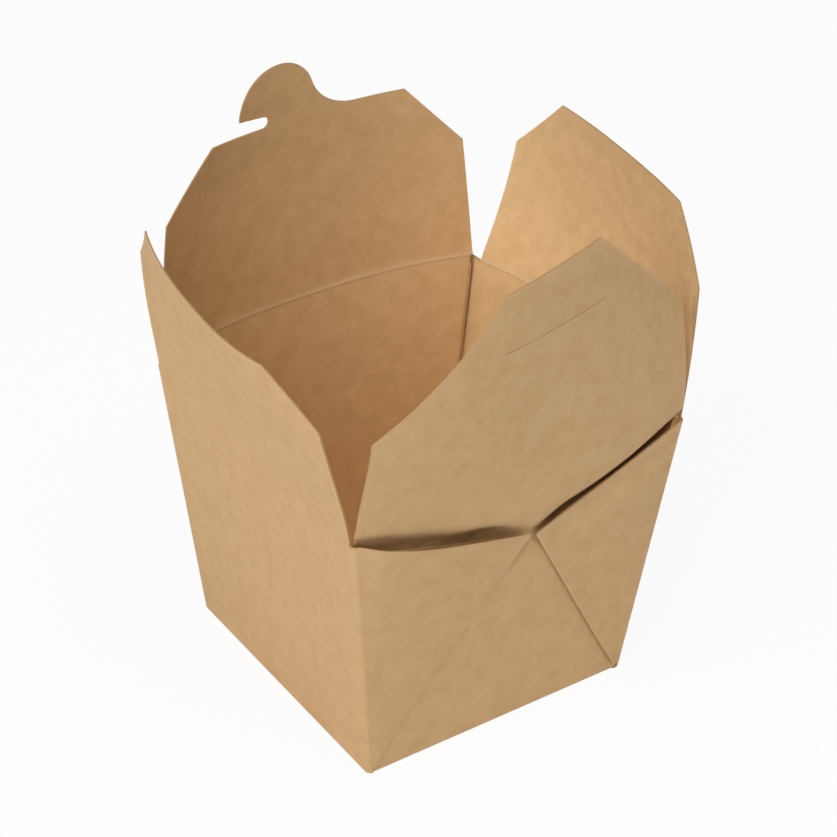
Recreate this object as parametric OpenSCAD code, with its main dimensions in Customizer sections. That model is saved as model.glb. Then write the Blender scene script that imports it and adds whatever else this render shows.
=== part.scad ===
// Noodle box folded from one die-cut sheet of kraft card: a tapered tub whose corners are
// folded webs, with four flaps standing open on the rim creases.
// Frame: millimetres, origin at the centre of the underside, +Z up, slit flap towards -Y.
// Every wall and flap is drawn as seen from outside, then spun to its side of the tub.

/* [Card] */
// Thickness of the kraft card
card_t = 0.5; // [0.4:0.05:0.7]
// Gap left by the pressed crease between a wall and its flap
crease_gap = 0.2; // [0.15:0.05:0.4]
// Slack between the plies of a folded corner web
ply_slack = 0.15; // [0.1:0.05:0.3]

/* [Tub] */
// Inside width of the base, left to right
base_w = 84.5; // [76:0.5:92]
// Inside depth of the base, front to back
base_d = 84.5; // [76:0.5:92]
// Inside width at the rim creases
rim_w = 105.8; // [98:0.2:114]
// Inside depth at the rim creases
rim_d = 94.6; // [90:0.2:104]
// Height of the rim creases above the table
rim_h = 87; // [78:0.5:98]
// Room left at each rim corner between the ends of two flaps
corner_notch = 1.5; // [1:0.1:2.5]
// How much lower the left and right creases lie, so that these flaps fold in under the others
crease_step = 1.5; // [1:0.1:2.5]

/* [Wall bow] */
// Outward bow of the front crease at the middle of its length
front_bow = 5; // [0:0.5:6]
// Outward bow of the right crease
right_bow = 3; // [0:0.5:4]
// Outward bow of the back crease
back_bow = 6; // [0:0.5:8]
// Outward bow of the left crease
left_bow = 0; // [0:0.5:3]
// Power by which the bow grows from the base to the rim
bow_power = 1.5; // [1:0.1:2]
// Power of the bow's arch from corner to corner, where 2 is a plain parabola
bow_shape = 2.5; // [2:0.1:4]

/* [Corner webs] */
// How far the open top edge of a web springs off the wall behind it
web_spring = 2.4; // [0.5:0.1:3]
// Gap between the tips of the two webs where they meet on a wall
web_tip_gap = 0.6; // [0.3:0.1:1.5]

/* [Front flap] */
// Length of the front flap from its crease to its top edge
front_len = 67.4; // [60:0.2:70]
// Height at which its side edges end and the slanted shoulders begin
front_side = 35.3; // [30:0.1:42]
// Half width where the side edges end
front_shoulder = 52; // [48:0.2:52]
// Half width of the top edge
front_top = 18; // [12:0.2:26]
// Lean outwards at its left end, in degrees
front_lean_left = 10; // [0:0.5:12]
// Lean outwards at its right end, in degrees
front_lean_right = -1; // [-2:0.5:8]
// Outward bow of the card at the height of the top edge
front_top_bow = 4; // [2:0.5:8]
// How far the card bellies out halfway up the flap
front_belly = 2.5; // [0:0.5:4]
// Height of the locking slit above the crease
slit_height = 51; // [46:0.2:55]
// Length of the locking slit
slit_len = 36.5; // [28:0.5:40]
// Width of the knife cut
slit_cut = 0.6; // [0.4:0.1:1]

/* [Back flap] */
// Length of the back flap from its crease to its top edge
back_len = 57.3; // [52:0.2:62]
// Height at which its side edges end
back_side = 39.2; // [34:0.2:44]
// Half width where the side edges end
back_shoulder = 47.8; // [44:0.2:50]
// Half width of the top edge
back_top = 30.9; // [28:0.2:36]
// Lean outwards at its left end, in degrees
back_lean_left = 0.5; // [0:0.5:8]
// Lean outwards at its right end, in degrees
back_lean_right = 3; // [0:0.5:8]
// Outward bow of the card at the height of the top edge
back_top_bow = 7; // [2:0.5:8]
// How far the card bellies out halfway up the flap
back_belly = 0.5; // [0:0.5:2]
// Radius of the round head of the locking tab
tab_r = 12.9; // [10:0.1:14]
// Distance of the tab's centre to the side of the flap's middle
tab_offset = 9.5; // [4:0.1:14]
// Height of the tab's centre above the top edge
tab_rise = 4.2; // [2.5:0.1:6]
// Radius of the hollow curve that runs from the tab down to the top edge
tab_fillet = 9.8; // [6:0.1:12]
// Height of the undercut below the tab's hook
hook_slot = 2.6; // [1.5:0.1:4]
// Depth of the undercut from the hook's tip to its round end
hook_depth = 10; // [6:0.2:12]
// Droop of the hook's underside towards the round end
hook_droop = 1.2; // [0:0.1:2]

/* [Side flaps] */
// Length of the left and right flaps from crease to top edge
side_len = 54.9; // [48:0.1:58]
// Height at which their side edges end
side_side = 37.7; // [32:0.1:42]
// Half width where the side edges end
side_shoulder = 46; // [42:0.2:46]
// Half width of their top edges
side_top = 30.1; // [24:0.1:36]
// Lean outwards of the left flap at its back end, in degrees
left_lean_back = 9; // [4:0.5:14]
// Lean outwards of the left flap at its front end, in degrees
left_lean_front = 14; // [4:0.5:16]
// Outward bow of the left flap at its top edge
left_top_bow = 6; // [0:0.5:8]
// How far the left flap bellies out halfway up
left_belly = 0; // [0:0.5:2]
// Lean outwards of the right flap at its front end, in degrees
right_lean_front = 8; // [2:0.5:12]
// Lean outwards of the right flap at its back end, in degrees
right_lean_back = 14; // [4:0.5:16]
// Outward bow of the right flap at its top edge
right_top_bow = 3; // [0:0.5:4]
// How far the right flap bellies out halfway up
right_belly = 3; // [0:0.5:4]

/* [Hidden] */
$fn = 48;

KRAFT = "#c9a573";
// Sides of the tub in quarter turns from the front, and each crease's bow in that order
FRONT = 0;
RIGHT = 1;
BACK = 2;
LEFT = 3;
BOWS = [front_bow, right_bow, back_bow, left_bow];
// Facets across a wall, up a wall, across a flap, up a flap, across a web and up a web
WALL_COLS = 12;
WALL_ROWS = 6;
FLAP_COLS = 16;
FLAP_ROWS = 8;
WEB_COLS = 6;
WEB_ROWS = 8;

// Depth of the corner fold that covers the ends of a web's two plies
corner_fold = 2 * (card_t + ply_slack) + ply_slack;
// Height above the base at which the corner folds have their full depth
fold_rise = 4;
// Step by which the card rounds a corner fold, and by which the rim is pressed down on the inside
fold_step = 0.6 * card_t;
rim_press = 0.2 * card_t;
// How far a cut runs past the card, and how far one outline laps over another
past_end = 0.5;
lap = 2 * past_end;
// Share of the spring that the inner ply follows, so that its edge shows in the open mouth
inner_lift = 0.4;

function mix(a, b, t) = a + (b - a) * t;
function arch(s) = 1 - pow(abs(s), bow_shape);
function half_w(z) = mix(base_w, rim_w, z / rim_h) / 2;
function half_d(z) = mix(base_d, rim_d, z / rim_h) / 2;
function bow_share(z) = pow(z / rim_h, bow_power);
// Half length of a wall along its side, and how far its inner face stands from the middle
function wall_half(side, z) = side % 2 == 0 ? half_w(z) : half_d(z);
function wall_out(side, z) = side % 2 == 0 ? half_d(z) : half_w(z);
// How far a wall bows out at a place along it
function bow(side, x, z) = BOWS[side] * arch(min(1, abs(x) / wall_half(side, z))) * bow_share(z);
// Height of the crease on a side of the tub
function crease_z(side) = side % 2 == 0 ? rim_h : rim_h - crease_step;
// A point seen from outside, x along the wall and so far out, in the tub's own frame
function spun(side, x, out, z) =
    let (c = [1, 0, -1, 0][side], s = [0, 1, 0, -1][side]) [c * x + s * out, s * x - c * out, z];

// Height on a wall at which the folds of its two corner webs meet, from the web's true angle:
// what a quarter turn leaves between the two flared wall edges, halved by the fold
front_slant = norm([rim_h, (rim_d - base_d) / 2]);
side_slant = norm([rim_h, (rim_w - base_w) / 2]);
front_flare = atan2((rim_w - base_w) / 2, front_slant);
side_flare = atan2((rim_d - base_d) / 2, side_slant);
fold_angle = (90 - front_flare - side_flare) / 2 - front_flare;
web_apex = min(0.9 * rim_h, base_w / 2 / tan(fold_angle) * rim_h / front_slant);

// Closed solid of bent card between two matching grids of points, rows upwards by columns
// to the right, where the first grid is the outside
module bent_card(outside, inside) {
    rows = len(outside);
    cols = len(outside[0]);
    function at(f, r, c) = (f * rows + r) * cols + c;
    cells = [for (r = [0:rows - 2], c = [0:cols - 2]) [r, c]];
    edge = concat(
        [for (c = [0:cols - 1]) [0, c]], [for (r = [1:rows - 1]) [r, cols - 1]],
        [for (c = [cols - 2:-1:0]) [rows - 1, c]], [for (r = [rows - 2:-1:0]) [r, 0]]);
    skin = [for (q = cells, upper = [true, false]) let (r = q[0], c = q[1])
        upper ? [[r, c], [r + 1, c], [r + 1, c + 1]] : [[r, c], [r + 1, c + 1], [r, c + 1]]];
    polyhedron(
        points = [for (grid = [outside, inside], row = grid, p = row) p],
        faces = concat(
            [for (f = skin) [for (q = f) at(0, q[0], q[1])]],
            [for (f = skin) [for (i = [2:-1:0]) at(1, f[i][0], f[i][1])]],
            [for (i = [0:len(edge) - 2], upper = [true, false]) let (a = edge[i], b = edge[i + 1])
                upper ? [at(0, a[0], a[1]), at(0, b[0], b[1]), at(1, b[0], b[1])]
                      : [at(0, a[0], a[1]), at(1, b[0], b[1]), at(1, a[0], a[1])]]),
        convexity = 4);
}

// Solid skinned through rings of points that run the same way round, closed at both ends by
// fans from the tub's axis
module loft(rings) {
    n = len(rings[0]);
    top = len(rings) - 1;
    foot = n * (top + 1);
    polyhedron(
        points = concat([for (ring = rings, p = ring) p], [for (k = [0, top]) [0, 0, rings[k][0][2]]]),
        faces = concat(
            [for (i = [0:n - 1]) [i, (i + 1) % n, foot]],
            [for (i = [0:n - 1]) [top * n + (i + 1) % n, top * n + i, foot + 1]],
            [for (k = [0:top - 1], i = [0:n - 1], upper = [true, false])
                let (a = k * n + i, b = k * n + (i + 1) % n)
                upper ? [a, a + n, b + n] : [a, b + n, b]]),
        convexity = 4);
}

// Places along a wall's inside at one height; the left and right walls start in the corners,
// the front and back ones a step away from them
function wall_steps(side, z) =
    let (half = wall_half(side, z), in = half - fold_step, ends = [0, 1, 2] * fold_step)
    side % 2 == 0
        ? [for (i = [0:WALL_COLS]) mix(-in, in, i / WALL_COLS)]
        : concat([for (e = ends) e - half],
                 [for (i = [1:WALL_COLS - 1]) mix(-half, half, i / WALL_COLS)],
                 [for (k = [2:-1:0]) half - ends[k]]);

// One level ring of the tub's inside
function inside_ring(z) = [for (side = [0:3], x = wall_steps(side, z))
    spun(side, x, wall_out(side, z) + bow(side, x, z), z)];

// One level ring of the tub's outside; the left and right walls run on past the front and
// back ones to the corner folds, where they turn into the outer plies of the webs
function outside_ring(z) = [for (side = [0:3])
    let (steps = wall_steps(side, z), last = len(steps) - 1, half = wall_half(side, z),
         fold = half + card_t + corner_fold * min(1, z / fold_rise))
    for (i = [0:last])
        let (end = side % 2 == 0 ? last : min(i, last - i),
             x = end == 2 ? sign(steps[i]) * half : end < 2 ? sign(steps[i]) * fold : steps[i])
        spun(side, x, wall_out(side, z) + bow(side, x, z) + (end == 0 && side % 2 == 1 ? 0 : card_t), z)];

// Corner web at the left end of a wall: the card runs off the corner fold as the outer ply,
// turns at the slanted fold and comes back behind it as the inner ply, open along its top edge
module web(side) {
    corner_base = [-half_w(0) - card_t / 2, 0];
    corner_rim = [-half_w(rim_h) - card_t / 2, rim_h - corner_notch / 2];
    tip = [-web_tip_gap / 2, web_apex];
    // u runs from the corner to the fold, v from the base corner to the open edge
    function place(u, v) = corner_base + v * (mix(corner_rim, tip, u) - corner_base);
    function spring(u, v) = web_spring * pow(v, 4) * 4 * u * (1 - u);
    function face(z, x) = wall_out(side, z) + card_t + bow(side, x, z);
    // A point so many card faces and slacks out from the wall
    function ply(u, v, cards, slacks, lift) = let (q = place(u, v))
        [q[0], -face(q[1], q[0]) - card_t * cards - ply_slack * slacks - lift * spring(u, v), q[1]];
    // How much of u the turn of the card takes up at v
    function turn(v) = card_t / (v * norm(corner_rim - tip));
    vs = [for (j = [0:WEB_ROWS]) mix(0.08, 1, j / WEB_ROWS)];
    out_us = [for (i = [0:WEB_COLS]) i / WEB_COLS];
    back_us = [for (i = [WEB_COLS:-1:0]) i / WEB_COLS];
    outside = [for (v = vs) let (k = 1 - 1.5 * turn(v)) concat(
        [for (u = out_us) ply(u * k, v, 2, 2, 1)],
        [ply(1, v, 1, 1.5, 0.7)],
        [for (u = back_us) ply(u * k, v, 0, 1, inner_lift)])];
    pocket = [for (v = vs) let (k = 1 - 1.5 * turn(v)) concat(
        [for (u = out_us) ply(u * k, v, 1, 2, 1)],
        [ply(1 - turn(v), v, 1, 1.5, 0.7)],
        [for (u = back_us) ply(u * k, v, 1, 1, inner_lift)])];
    bent_card(outside, pocket);
}

// What is cut off the top of a left or right wall between the corner folds
module lowered_rim(side) {
    half = wall_half(side, rim_h) - corner_notch / 2;
    rotate([0, 0, 90 * side])
        translate([-half, -wall_out(side, rim_h) - BOWS[side] - card_t - past_end, crease_z(side)])
            cube([2 * half, BOWS[side] + card_t + 4 * past_end, crease_step + past_end]);
}

// Base and four walls with the webs folded on to the front and back walls
module carton_body() {
    color(KRAFT) {
        difference() {
            loft(concat(
                [outside_ring(0)],
                [for (k = [0:WALL_ROWS]) outside_ring(mix(fold_rise, rim_h, k / WALL_ROWS))],
                [for (k = [WALL_ROWS:-1:0]) inside_ring(mix(card_t, rim_h - rim_press, k / WALL_ROWS))]));
            for (side = [LEFT, RIGHT]) lowered_rim(side);
        }
        for (half_turn = [0, 180]) rotate([0, 0, half_turn]) {
            side = half_turn == 0 ? FRONT : BACK;
            web(side);
            mirror([1, 0, 0]) web(side);
        }
    }
}

// Card of a standing flap before it is cut out: it starts on the bowed crease, leans out by its
// own angle at each end and bellies out halfway up
module flap_card(side, height, top, top_bow, belly, lean_left, lean_right) {
    foot_z = crease_z(side);
    half = wall_half(side, foot_z);
    foot_bow = BOWS[side] * bow_share(foot_z);
    function out(s, z) = wall_out(side, foot_z) + mix(foot_bow, top_bow, z / top) * arch(s)
        + z * tan(mix(lean_left, lean_right, (s + 1) / 2)) + belly * 4 * z / top * (1 - z / top);
    function grid(offset) = [for (k = [0:FLAP_ROWS])
        let (z = mix(crease_gap, height, k / FLAP_ROWS))
        [for (i = [0:FLAP_COLS]) let (s = 2 * i / FLAP_COLS - 1)
            [s * half, -out(s, z) - offset, foot_z + z]]];
    bent_card(grid(card_t), grid(0));
}

// Cuts a flap out of its card along a flat profile, and sets it on its side of the tub
module cut_flap(side, height, top, top_bow, belly, lean_left, lean_right) {
    reach = wall_out(side, rim_h) + BOWS[side] + top_bow + belly + height;
    color(KRAFT) rotate([0, 0, 90 * side]) intersection() {
        flap_card(side, height, top, top_bow, belly, lean_left, lean_right);
        translate([0, 0, crease_z(side)]) rotate([90, 0, 0]) linear_extrude(reach) children();
    }
}

// Flap outline: side edges up to the shoulders, slanted edges up to the straight top edge
module flap_profile(side, side_edge, shoulder, top, len) {
    foot = wall_half(side, rim_h) - corner_notch;
    polygon([[-foot, 0], [foot, 0], [shoulder, side_edge], [top, len], [-top, len], [-shoulder, side_edge]]);
}

// Front flap with the slit that takes the locking tab
module front_flap() {
    lean = cos((front_lean_left + front_lean_right) / 2);
    height = front_len + lap;
    cut_flap(FRONT, height, front_len, front_top_bow, front_belly, front_lean_left, front_lean_right)
        difference() {
            flap_profile(FRONT, front_side * lean, front_shoulder, front_top, front_len * lean);
            translate([-slit_len / 2, slit_height * lean - slit_cut / 2]) square([slit_len, slit_cut]);
        }
}

// Round locking tab with its hollow curve on one side and the hook's undercut on the other
module tab_profile() {
    root = [tab_offset, back_len + tab_rise];
    run = sqrt(pow(tab_r + tab_fillet, 2) - pow(tab_fillet - tab_rise, 2));
    hollow = [tab_offset - run, back_len + tab_fillet];
    touch = root + (hollow - root) * tab_r / (tab_r + tab_fillet);
    slot_end = tab_offset + tab_r - hook_depth;
    difference() {
        union() {
            intersection() {
                translate(root) circle(tab_r);
                translate([root[0] - tab_r, back_len - lap]) square([2 * tab_r, 2 * tab_r + tab_rise]);
            }
            difference() {
                polygon([[hollow[0], back_len - lap], [root[0], back_len - lap], root, touch,
                         [hollow[0], back_len]]);
                translate(hollow) circle(tab_fillet);
            }
        }
        translate([slot_end, back_len + hook_slot / 2]) circle(hook_slot / 2);
        polygon([[slot_end, back_len], [slot_end + 2 * tab_r, back_len],
                 [slot_end + 2 * tab_r, back_len + hook_slot + 2 * tab_r * hook_droop / hook_depth],
                 [slot_end, back_len + hook_slot]]);
    }
}

// Back flap with the locking tab
module back_flap() {
    height = back_len + tab_rise + tab_r + lap;
    cut_flap(BACK, height, back_len, back_top_bow, back_belly, back_lean_left, back_lean_right) {
        flap_profile(BACK, back_side, back_shoulder, back_top, back_len);
        tab_profile();
    }
}

module left_flap() {
    lean = cos((left_lean_back + left_lean_front) / 2);
    cut_flap(LEFT, side_len + lap, side_len, left_top_bow, left_belly, left_lean_back, left_lean_front)
        flap_profile(LEFT, side_side * lean, side_shoulder, side_top, side_len * lean);
}

module right_flap() {
    lean = cos((right_lean_front + right_lean_back) / 2);
    cut_flap(RIGHT, side_len + lap, side_len, right_top_bow, right_belly, right_lean_front, right_lean_back)
        flap_profile(RIGHT, side_side * lean, side_shoulder, side_top, side_len * lean);
}

carton_body();
front_flap();
right_flap();
back_flap();
left_flap();
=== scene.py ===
"""Noodle box of kraft card: a tub folded from one die-cut sheet, with four flaps open on its rim."""
import math
from typing import NamedTuple

import bpy
import numpy as np
from bpy.props import FloatProperty, FloatVectorProperty, PointerProperty
from mathutils import Matrix, Vector
from mathutils.geometry import delaunay_2d_cdt


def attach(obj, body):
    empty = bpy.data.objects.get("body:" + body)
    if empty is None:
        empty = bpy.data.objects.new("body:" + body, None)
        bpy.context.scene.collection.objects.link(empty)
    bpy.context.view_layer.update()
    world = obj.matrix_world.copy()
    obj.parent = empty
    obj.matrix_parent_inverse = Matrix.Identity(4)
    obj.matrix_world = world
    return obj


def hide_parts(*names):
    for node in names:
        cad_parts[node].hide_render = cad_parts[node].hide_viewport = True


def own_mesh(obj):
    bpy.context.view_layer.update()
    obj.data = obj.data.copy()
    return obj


bl_info = {
    "name": "Kraft noodle box",
    "version": (1, 0, 0),
    "blender": (4, 5, 0),
    "location": "3D View > Sidebar > Noodle box",
    "description": "Builds a folded kraft card noodle box on its packed frame",
    "category": "Add Mesh",
}

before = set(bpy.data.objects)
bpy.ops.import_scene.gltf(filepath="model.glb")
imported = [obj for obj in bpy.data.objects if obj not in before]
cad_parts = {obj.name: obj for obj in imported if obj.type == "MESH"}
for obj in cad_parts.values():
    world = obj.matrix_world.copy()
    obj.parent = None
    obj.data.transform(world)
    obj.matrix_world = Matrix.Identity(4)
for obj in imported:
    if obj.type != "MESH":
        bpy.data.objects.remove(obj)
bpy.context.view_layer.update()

MM = 0.001
IMAGE_PX = 837
SENSOR_MM = 36.0
TUB = "carton_body"
UP = np.array((0.0, 0.0, 1.0))


class Side(NamedTuple):
    """Where a side of the tub faces."""
    along: tuple  # the way along it
    out: tuple  # the way out of it
    mirrored: bool  # whether its outside is seen with the way along running to the left


class Bend(NamedTuple):
    """How a wall and its flap are bent; all but the bow are slopes outwards."""
    bow: float  # bow of the crease, in millimetres
    lean: float  # slope of the flap
    twist: float  # how much more it slopes at the far end of the crease, and less at the near end
    belly: float  # how much more it slopes at mid width
    curl: float  # the same three again, for the curl that grows towards the top edge
    curl_twist: float
    curl_belly: float


class Web(NamedTuple):
    """How a corner web lies on its wall."""
    wall: str
    end: int  # end of the wall, -1 or 1
    spring: float  # how far its open top edge springs off, in millimetres
    peak: float  # where along that edge it springs most
    base_full: float  # how full its plies stand at the base
    rim_full: float  # how full they stand at the rim
    pressed: float  # how far its slanted fold is pressed flat
    fold_open: float  # how far that fold stands open, in millimetres


SIDES = {
    "front": Side((1, 0, 0), (0, -1, 0), False),
    "right": Side((0, 1, 0), (1, 0, 0), False),
    "back": Side((1, 0, 0), (0, 1, 0), True),
    "left": Side((0, 1, 0), (-1, 0, 0), True),
}
BENDS = {
    "front": Bend(5.95, 0.2335, -0.2758, 0.0342, -0.2008, 0.0227, 0.0445),
    "right": Bend(7.14, 0.2600, 0.1170, -0.0230, -0.1101, -0.0326, -0.0187),
    "back": Bend(7.49, 0.0640, -0.0912, 0.0291, -0.0481, 0.0694, -0.0021),
    "left": Bend(0.0, 0.3426, -0.0353, 0.0889, -0.1221, -0.0435, 0.0820),
}
WEBS = {
    "front_left_web": Web("front", -1, 3.4, 0.32, 0.25, 1.0, 0.6, 0.0),
    "front_right_web": Web("front", 1, 0.2, 0.30, 0.45, 1.0, 0.0, 1.0),
    "back_left_web": Web("back", -1, 2.8, 0.40, 0.25, 1.0, 0.0, 0.0),
    "back_right_web": Web("back", 1, 2.8, 0.40, 0.25, 2.2, 0.0, 0.0),
}
# Powers by which a bow fades towards the ends of its wall and grows towards the rim
BOW_ARCH = 2.5
BOW_RISE = 1.5
# Length of card over which a flap's curl is counted
CURL_LENGTH = 50 * MM
# Length over which each flap turns from the slope of its wall to its own, in millimetres
EASE = {"front": 10.0, "right": 2.0, "back": 2.0, "left": 12.0}
# How far the two ends of each flap's foot reach past the ends of its wall, in millimetres
FEET = {"front": (-1.0, 0.2), "right": (0.0, -1.5), "back": (-1.5, -1.2), "left": (0.0, 0.0)}
# Hollows that the webs press into a wall along their open top edges: place along the wall,
# half length and depth, in millimetres
DENTS = {
    "front": ((-10, 9, 5.0), (-28, 16, 4.4), (-45, 11, 1.6),
              (12, 8, 2.4), (26, 14, 3.0), (47, 12, 3.4)),
}
# How far to the right of a wall's middle its two webs meet, in millimetres
TIPS = {"front": 2.0, "back": 0.0}
# Angles between which the edge of the locking tab runs flatter, down to its hook, in degrees
HOOK_TURN = (150, 178)

# Lean of the plane into which each flap would straighten as it is folded shut, in degrees; the
# flaps are not straightened into it
SHUT_LEAN = {"front": 0.0, "right": 11.0, "back": -6.0, "left": 11.5}

# Powers by which a web springs off the wall towards its top edge and to its peak along it
SPRING_RISE = 5
SPRING_PEAK = 1.3
# How softly a web's outer ply comes to rest on the wall
REST_SOFT = 0.3 * MM
# Share of a web's width over which it comes away from the corner
LEAVE_SHARE = 0.12
# Powers by which a web is pressed flat, or stands open, towards its fold
PRESS_RISE = 4
OPEN_RISE = 6
# Share of a web's height over which its fold opens, above the base
OPEN_FROM = 0.08
# Share of the spring that a web's inner ply follows at its ends, and how much less half way
INNER_LIFT = 0.9
INNER_SAG = 0.28
# Power by which the inner ply drops towards the top edge
DROP_RISE = 8
# Largest share of a web's width that the turn at its fold may take, near the base
TURN_MOST = 0.9

# Length and radius of the curl at the ends of the front and back walls
END_CURL = 1.3 * MM
END_CURL_R = 0.8 * MM

# Where the card is painted paler: reach along a crease in half widths of its bead, where the paler
# colour is a painted highlight on the bead, then how much paler near a cut edge, its reach and how
# far above the crease it starts, then how much paler at a web's fold
CREASE_HIGHLIGHT_REACH = 1.3
EDGE_PALE = 0.25
EDGE_PALE_REACH = 0.4 * MM
EDGE_PALE_FROM = 1 * MM
FOLD_PALE = 0.3

# How finely the card is divided: the turns of its folds in degrees
FOOT_TURNS = (0, 22, 45, 62, 76, 86)
CORNER_TURNS = (12, 24, 36, 48, 60, 72, 81, 87, 90)
WEB_TURNS = (60, 30, 0, -30, -60)
# Rows below and above a crease in millimetres, and how far from it the even rows begin
CREASE_ROWS = (2.2, 1.6, 1.2, 0.9, 0.65, 0.4, 0.2, 0.0)
FLAP_ROWS = (0.25, 0.5, 0.75, 1.05, 1.5)
BELOW_CREASE = 3.2 * MM
ABOVE_CREASE = 2.6 * MM
# Even rows and columns
WALL_ROWS = 34
WALL_COLUMNS = 57
CURL_COLUMNS = 4
SIDE_COLUMNS = 49
BASE_COLUMNS = 25
WEB_ROWS = 40
WEB_COLUMNS = 37
# Shares of a web's height between which its even rows lie, and its last rows above them
WEB_EVEN = (0.03, 0.97)
WEB_LAST = (0.985, 1.0)
# Steps along a flap's cut edge and across it, and the least distance between the two
EDGE_STEP = 1.6 * MM
GRID_STEP = 2.2 * MM
EDGE_CLEAR = 0.9 * MM
# Rows up to this height are kept close to the crease, except so near its ends
FOOT_TOP = 2 * MM
FOOT_END = 4 * MM
# Steps in which the rise of a bent flap is added up, and the least square of its rise
RISE_STEPS = 12
LEAST_RISE = 0.02
# Points on the tab's hollow, its head, the flatter edge and the slot's round end
HOLLOW_POINTS = 14
HEAD_POINTS = 32
HOOK_POINTS = 12
SLOT_POINTS = 9
# Edges that turn by more than this are shaded sharp, in degrees
SHARP_TURN = 38

# Real sizes in the board and the floor, and how high their grain stands
PULP_CLOUD = 5 * MM
FIBRE = 0.7 * MM
FIBRE_RELIEF = 0.06 * MM
SPECK_GAP = 3 * MM
FIBRE_END = 0.25 * MM
END_RELIEF = 0.05 * MM
FLOOR_GRIT = 2 * MM
FLOOR_RELIEF = 0.1 * MM
# Roughness of the board's two faces and how much it varies, and how far the card may be painted paler,
# which along a crease is a painted highlight
OUTSIDE_ROUGH = 0.72
INSIDE_ROUGH = 0.84
ROUGH_SPREAD = 0.08
MOST_PALENESS = 0.7
# Share of plain white in the floor as it is seen, which leaves the rest to the box's shadow
FLOOR_WHITE = 0.93


def linear(hex_colour):
    """Turns an sRGB hex value such as #cda97c into linear RGB."""
    parts = [int(hex_colour[i:i + 2], 16) / 255 for i in (1, 3, 5)]
    return tuple(c / 12.92 if c <= 0.04045 else ((c + 0.055) / 1.055) ** 2.4 for c in parts)


def size(name, millimetres, description):
    """Property for a length, given in millimetres."""
    return FloatProperty(name=name, description=description, default=millimetres * MM, unit="LENGTH")


def colour(name, hex_colour, description):
    """Property for a colour, given as an sRGB hex value."""
    return FloatVectorProperty(name=name, description=description, size=3, subtype="COLOR",
                               min=0, max=1, default=linear(hex_colour))


class TubSizes(bpy.types.PropertyGroup):
    card: size("Card", 0.5, "Thickness of the kraft card")
    slack: size("Ply slack", 0.1, "Slack between the plies of a folded corner web")
    base_w: size("Base width", 84.5, "Inside width of the base, left to right")
    base_d: size("Base depth", 84.5, "Inside depth of the base, front to back")
    rim_w: size("Rim width", 105.8, "Inside width at the rim creases")
    rim_d: size("Rim depth", 94.6, "Inside depth at the rim creases")
    rim_h: size("Rim height", 87.0, "Height of the front and back creases above the table")
    crease_step: size("Crease step", 1.5, "How much lower the left and right creases lie")
    fold_r: size("Fold radius", 0.9, "Outside radius of the folds round the base")
    corner_r: size("Corner radius", 1.5, "Outside radius of the folds up the corners")
    pocket: size("Pocket mouth", 1.0, "Slit left in an inside corner where the web's pocket opens")
    bead_h: size("Crease bead", 0.14, "Height of the pressed bead along the inside of a crease")
    bead_w: size("Bead width", 0.75, "Half width of that bead")
    web_top: size("Web tip", 69.8, "Height at which the two webs of a wall meet")
    dent_h: size("Hollow height", 4.6, "Half height of the hollows behind the open edges of the webs")
    dent_drop: size("Hollow drop", 2.2, "How far the hollows are deepest below those edges")
    web_gap: size("Web gap", 0.7, "Gap between the tips of the two webs of a wall")
    ply_drop: size("Ply drop", 1.4, "How much lower the inner ply of a web ends than the outer one")


class FlapSizes(bpy.types.PropertyGroup):
    front_side: size("Front side edge", 35.6, "Height at which the front flap's side edges end")
    front_len: size("Front length", 68.78, "Length of the front flap from crease to top edge")
    front_shoulder: size("Front shoulder", 52.9, "Half width of the front flap where its side edges end")
    front_top: size("Front top", 17.7, "Half width of the front flap's top edge")
    slit_h: size("Slit height", 52.4, "Height of the locking slit above the front crease")
    slit_half: size("Slit half length", 18.15, "Half the length of the locking slit")
    slit_cut: size("Slit cut", 0.12, "Width of the knife cut")
    back_side: size("Back side edge", 38.76, "Height at which the back flap's side edges end")
    back_len: size("Back length", 56.98, "Length of the back flap from crease to top edge")
    back_shoulder: size("Back shoulder", 47.4, "Half width of the back flap where its side edges end")
    back_top: size("Back top", 30.7, "Half width of the back flap's top edge")
    tab_r: size("Tab radius", 11.5, "Radius of the round head of the locking tab")
    tab_offset: size("Tab offset", 9.4, "Distance of the tab's centre from the flap's middle")
    tab_rise: size("Tab rise", 6.5, "Height of the tab's centre above the top edge")
    tab_fillet: size("Tab hollow", 15.0, "Radius of the hollow curve beside the tab")
    hook_r: size("Hook radius", 18.0, "Radius of the flatter edge that runs down to the tab's hook")
    hook_slot: size("Hook slot", 3.8, "Height of the undercut below the tab's hook")
    hook_depth: size("Hook depth", 9.6, "Depth of the undercut from the tip of the hook")
    hook_drop: size("Hook drop", 0.7, "How much lower the top edge lies on the hook's side of the tab")
    left_side: size("Left side edge", 38.97, "Height at which the left flap's side edges end")
    left_len: size("Left length", 55.61, "Length of the left flap from crease to top edge")
    left_shoulder: size("Left shoulder", 47.1, "Half width of the left flap where its side edges end")
    left_top: size("Left top", 32.8, "Half width of the left flap's top edge")
    right_side: size("Right side edge", 38.4, "Height at which the right flap's side edges end")
    right_len: size("Right length", 55.72, "Length of the right flap from crease to top edge")
    right_shoulder: size("Right shoulder", 44.7, "Half width of the right flap where its side edges end")
    right_top: size("Right top", 29.24, "Half width of the right flap's top edge")


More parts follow.
